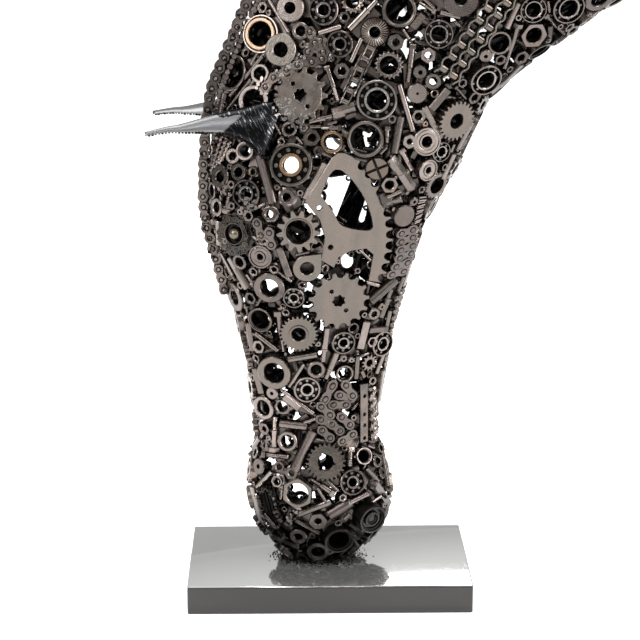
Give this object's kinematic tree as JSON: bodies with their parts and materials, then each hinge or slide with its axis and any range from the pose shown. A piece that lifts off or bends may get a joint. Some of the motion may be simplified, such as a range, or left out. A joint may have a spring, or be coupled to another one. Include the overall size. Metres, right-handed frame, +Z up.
{
  "type": "recycled metal horse sculpture",
  "caption": "Horse's head and arched neck welded from scrap machine parts, nose down on a flat plinth plate, with chain mane and bent sheet ears",
  "frame": {"origin": "middle of the plinth's underside", "axes": "+Z up, the forehead faces -X, the neck leaves towards +X, the horse's left side faces -Y"},
  "size_m": [0.602, 0.2, 1.0068],
  "materials": {
    "plinth_plate": "polished, nickel-like plate",
    "welded_scrap": "dark lacquered steel scrap",
    "machined_parts": "gunmetal machined steel, brushed and lacquered",
    "mane_chain": "dark oiled roller chain",
    "ear_sheet": "polished bent sheet, scratched and darkened at the root"
  },
  "bodies": {
    "root": {"cheek_chainring": "machined_parts", "cheek_gear": "machined_parts", "chin_disc": "machined_parts", "ear_left": "ear_sheet", "ear_right": "ear_sheet", "eye_ball_left": "machined_parts", "eye_ball_right": "machined_parts", "eye_cup_left": "machined_parts", "eye_cup_right": "machined_parts", "horse_body": "welded_scrap", "jaw_cup_ring": "machined_parts", "jaw_sprocket": "machined_parts", "lip_ring": "machined_parts", "mane_chain_left": "mane_chain", "mane_chain_middle": "mane_chain", "mane_chain_right": "mane_chain", "muzzle_gear": "machined_parts", "muzzle_nut": "machined_parts", "neck_bearing": "machined_parts", "neck_chain": "mane_chain", "neck_cup_ring": "machined_parts", "nose_gear": "machined_parts", "nose_washer": "machined_parts", "plinth": "plinth_plate", "poll_sprocket": "machined_parts", "poll_washer": "machined_parts", "right_cheek_sprocket": "machined_parts", "right_chin_ring": "machined_parts", "right_muzzle_gear": "machined_parts", "right_neck_bearing": "machined_parts", "right_neck_gear": "machined_parts", "right_nose_ring": "machined_parts", "right_temple_gear": "machined_parts", "teardrop_plate": "machined_parts", "temple_bearing": "machined_parts", "throat_bearing": "machined_parts", "throat_gear": "machined_parts"}
  },
  "joints": []
}
